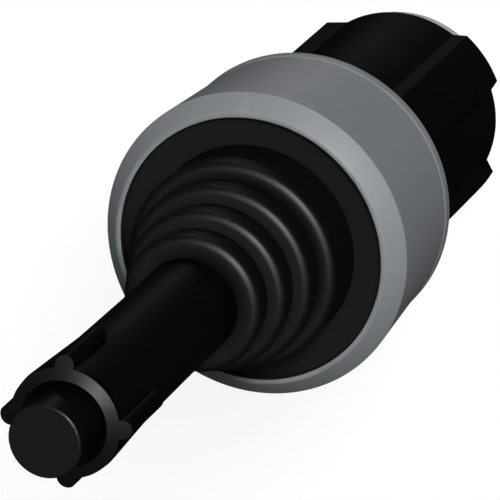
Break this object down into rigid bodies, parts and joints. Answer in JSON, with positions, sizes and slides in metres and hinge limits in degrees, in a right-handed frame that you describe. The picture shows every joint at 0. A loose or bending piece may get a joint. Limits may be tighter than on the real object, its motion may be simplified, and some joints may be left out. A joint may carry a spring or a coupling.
{
  "type": "industrial joystick",
  "caption": "Panel joystick with a tilting lever, a push button in its tip, a rubber bellows and a round metal bezel over a lobed collar with plungers behind.",
  "frame": {"origin": "on the lever's axis, in the plane of the panel's front face, where the bezel's rear rim rests", "axes": "+Z out of the panel towards the lever's tip; X and Y through the ribs of the lever's end collar, X on the gimbal ring's own pivot and Y on the lever's pivot"},
  "size_m": [0.029, 0.029, 0.0938],
  "materials": {
    "bezel_metal": "satin grey, turned",
    "black_plastic": "moulded, satin",
    "black_rubber": "moulded, satin",
    "bright_steel": "ground",
    "spring_steel": "drawn wire",
    "brass": "turned",
    "light_plastic": "natural acetal"
  },
  "bodies": {
    "base": {"bezel_ring": "bezel_metal", "boot_clamp_ring": "black_plastic", "bellows": "black_rubber", "gate_plate": "bright_steel", "collar_housing": "black_plastic", "panel_gasket": "black_rubber", "housing_seal": "black_rubber", "ring_pivot_pins": "bright_steel", "plunger_guide": "light_plastic", "spring_seat": "bright_steel", "rear_cap": "light_plastic", "spring_centre": "spring_steel", "spring_east": "spring_steel", "spring_north": "spring_steel", "spring_west": "spring_steel", "spring_south": "spring_steel"},
    "gimbal": {"gimbal_ring": "brass", "lever_pivot_pins": "bright_steel"},
    "lever": {"lever_hub": "light_plastic", "lever_tube": "bright_steel", "hub_clip": "spring_steel", "swash_plate": "bright_steel", "grip_sleeve": "black_plastic", "grip_end_collar": "black_plastic", "button_bush": "black_plastic", "button_spring": "spring_steel"},
    "button": {"tip_button": "black_plastic", "push_rod": "bright_steel"},
    "east": {"plunger_east": "light_plastic"},
    "north": {"plunger_north": "light_plastic"},
    "west": {"plunger_west": "light_plastic"},
    "south": {"plunger_south": "light_plastic"},
    "centre": {"centre_plunger": "light_plastic"}
  },
  "joints": [
    {"name": "tilt_x", "type": "hinge", "parent": "base", "child": "gimbal", "pos_m": [0, 0, 0.007], "axis": [1, 0, 0], "range_deg": [-12, 12], "stiffness_Nm_per_rad": 0.5, "deforming": ["bellows"]},
    {"name": "tilt_y", "type": "hinge", "parent": "gimbal", "child": "lever", "pos_m": [0, 0, 0.007], "axis": [0, 1, 0], "range_deg": [-12, 12], "stiffness_Nm_per_rad": 0.5},
    {"name": "button_press", "type": "slide", "parent": "lever", "child": "button", "axis": [0, 0, 1], "range_m": [-0.0025, 0], "stiffness_N_per_m": 800, "springref_m": 0.001, "deforming": ["button_spring"]},
    {"name": "east_slide", "type": "slide", "parent": "base", "child": "east", "axis": [0, 0, 1], "range_m": [-0.00126, 0.00126], "stiffness_N_per_m": 10, "deforming": ["spring_east"]},
    {"name": "north_slide", "type": "slide", "parent": "base", "child": "north", "axis": [0, 0, 1], "range_m": [-0.00126, 0.00126], "stiffness_N_per_m": 10, "deforming": ["spring_north"]},
    {"name": "west_slide", "type": "slide", "parent": "base", "child": "west", "axis": [0, 0, 1], "range_m": [-0.00126, 0.00126], "stiffness_N_per_m": 10, "deforming": ["spring_west"]},
    {"name": "south_slide", "type": "slide", "parent": "base", "child": "south", "axis": [0, 0, 1], "range_m": [-0.00126, 0.00126], "stiffness_N_per_m": 10, "deforming": ["spring_south"]},
    {"name": "centre_slide", "type": "slide", "parent": "base", "child": "centre", "axis": [0, 0, 1], "range_m": [-0.0025, 0], "deforming": ["spring_centre"]}
  ],
  "couplings": [
    {"joint": "east_slide", "follows": "tilt_y", "m_per_rad": -0.006},
    {"joint": "west_slide", "follows": "tilt_y", "m_per_rad": 0.006},
    {"joint": "north_slide", "follows": "tilt_x", "m_per_rad": 0.006},
    {"joint": "south_slide", "follows": "tilt_x", "m_per_rad": -0.006},
    {"joint": "centre_slide", "follows": "button_press", "ratio": 1}
  ]
}
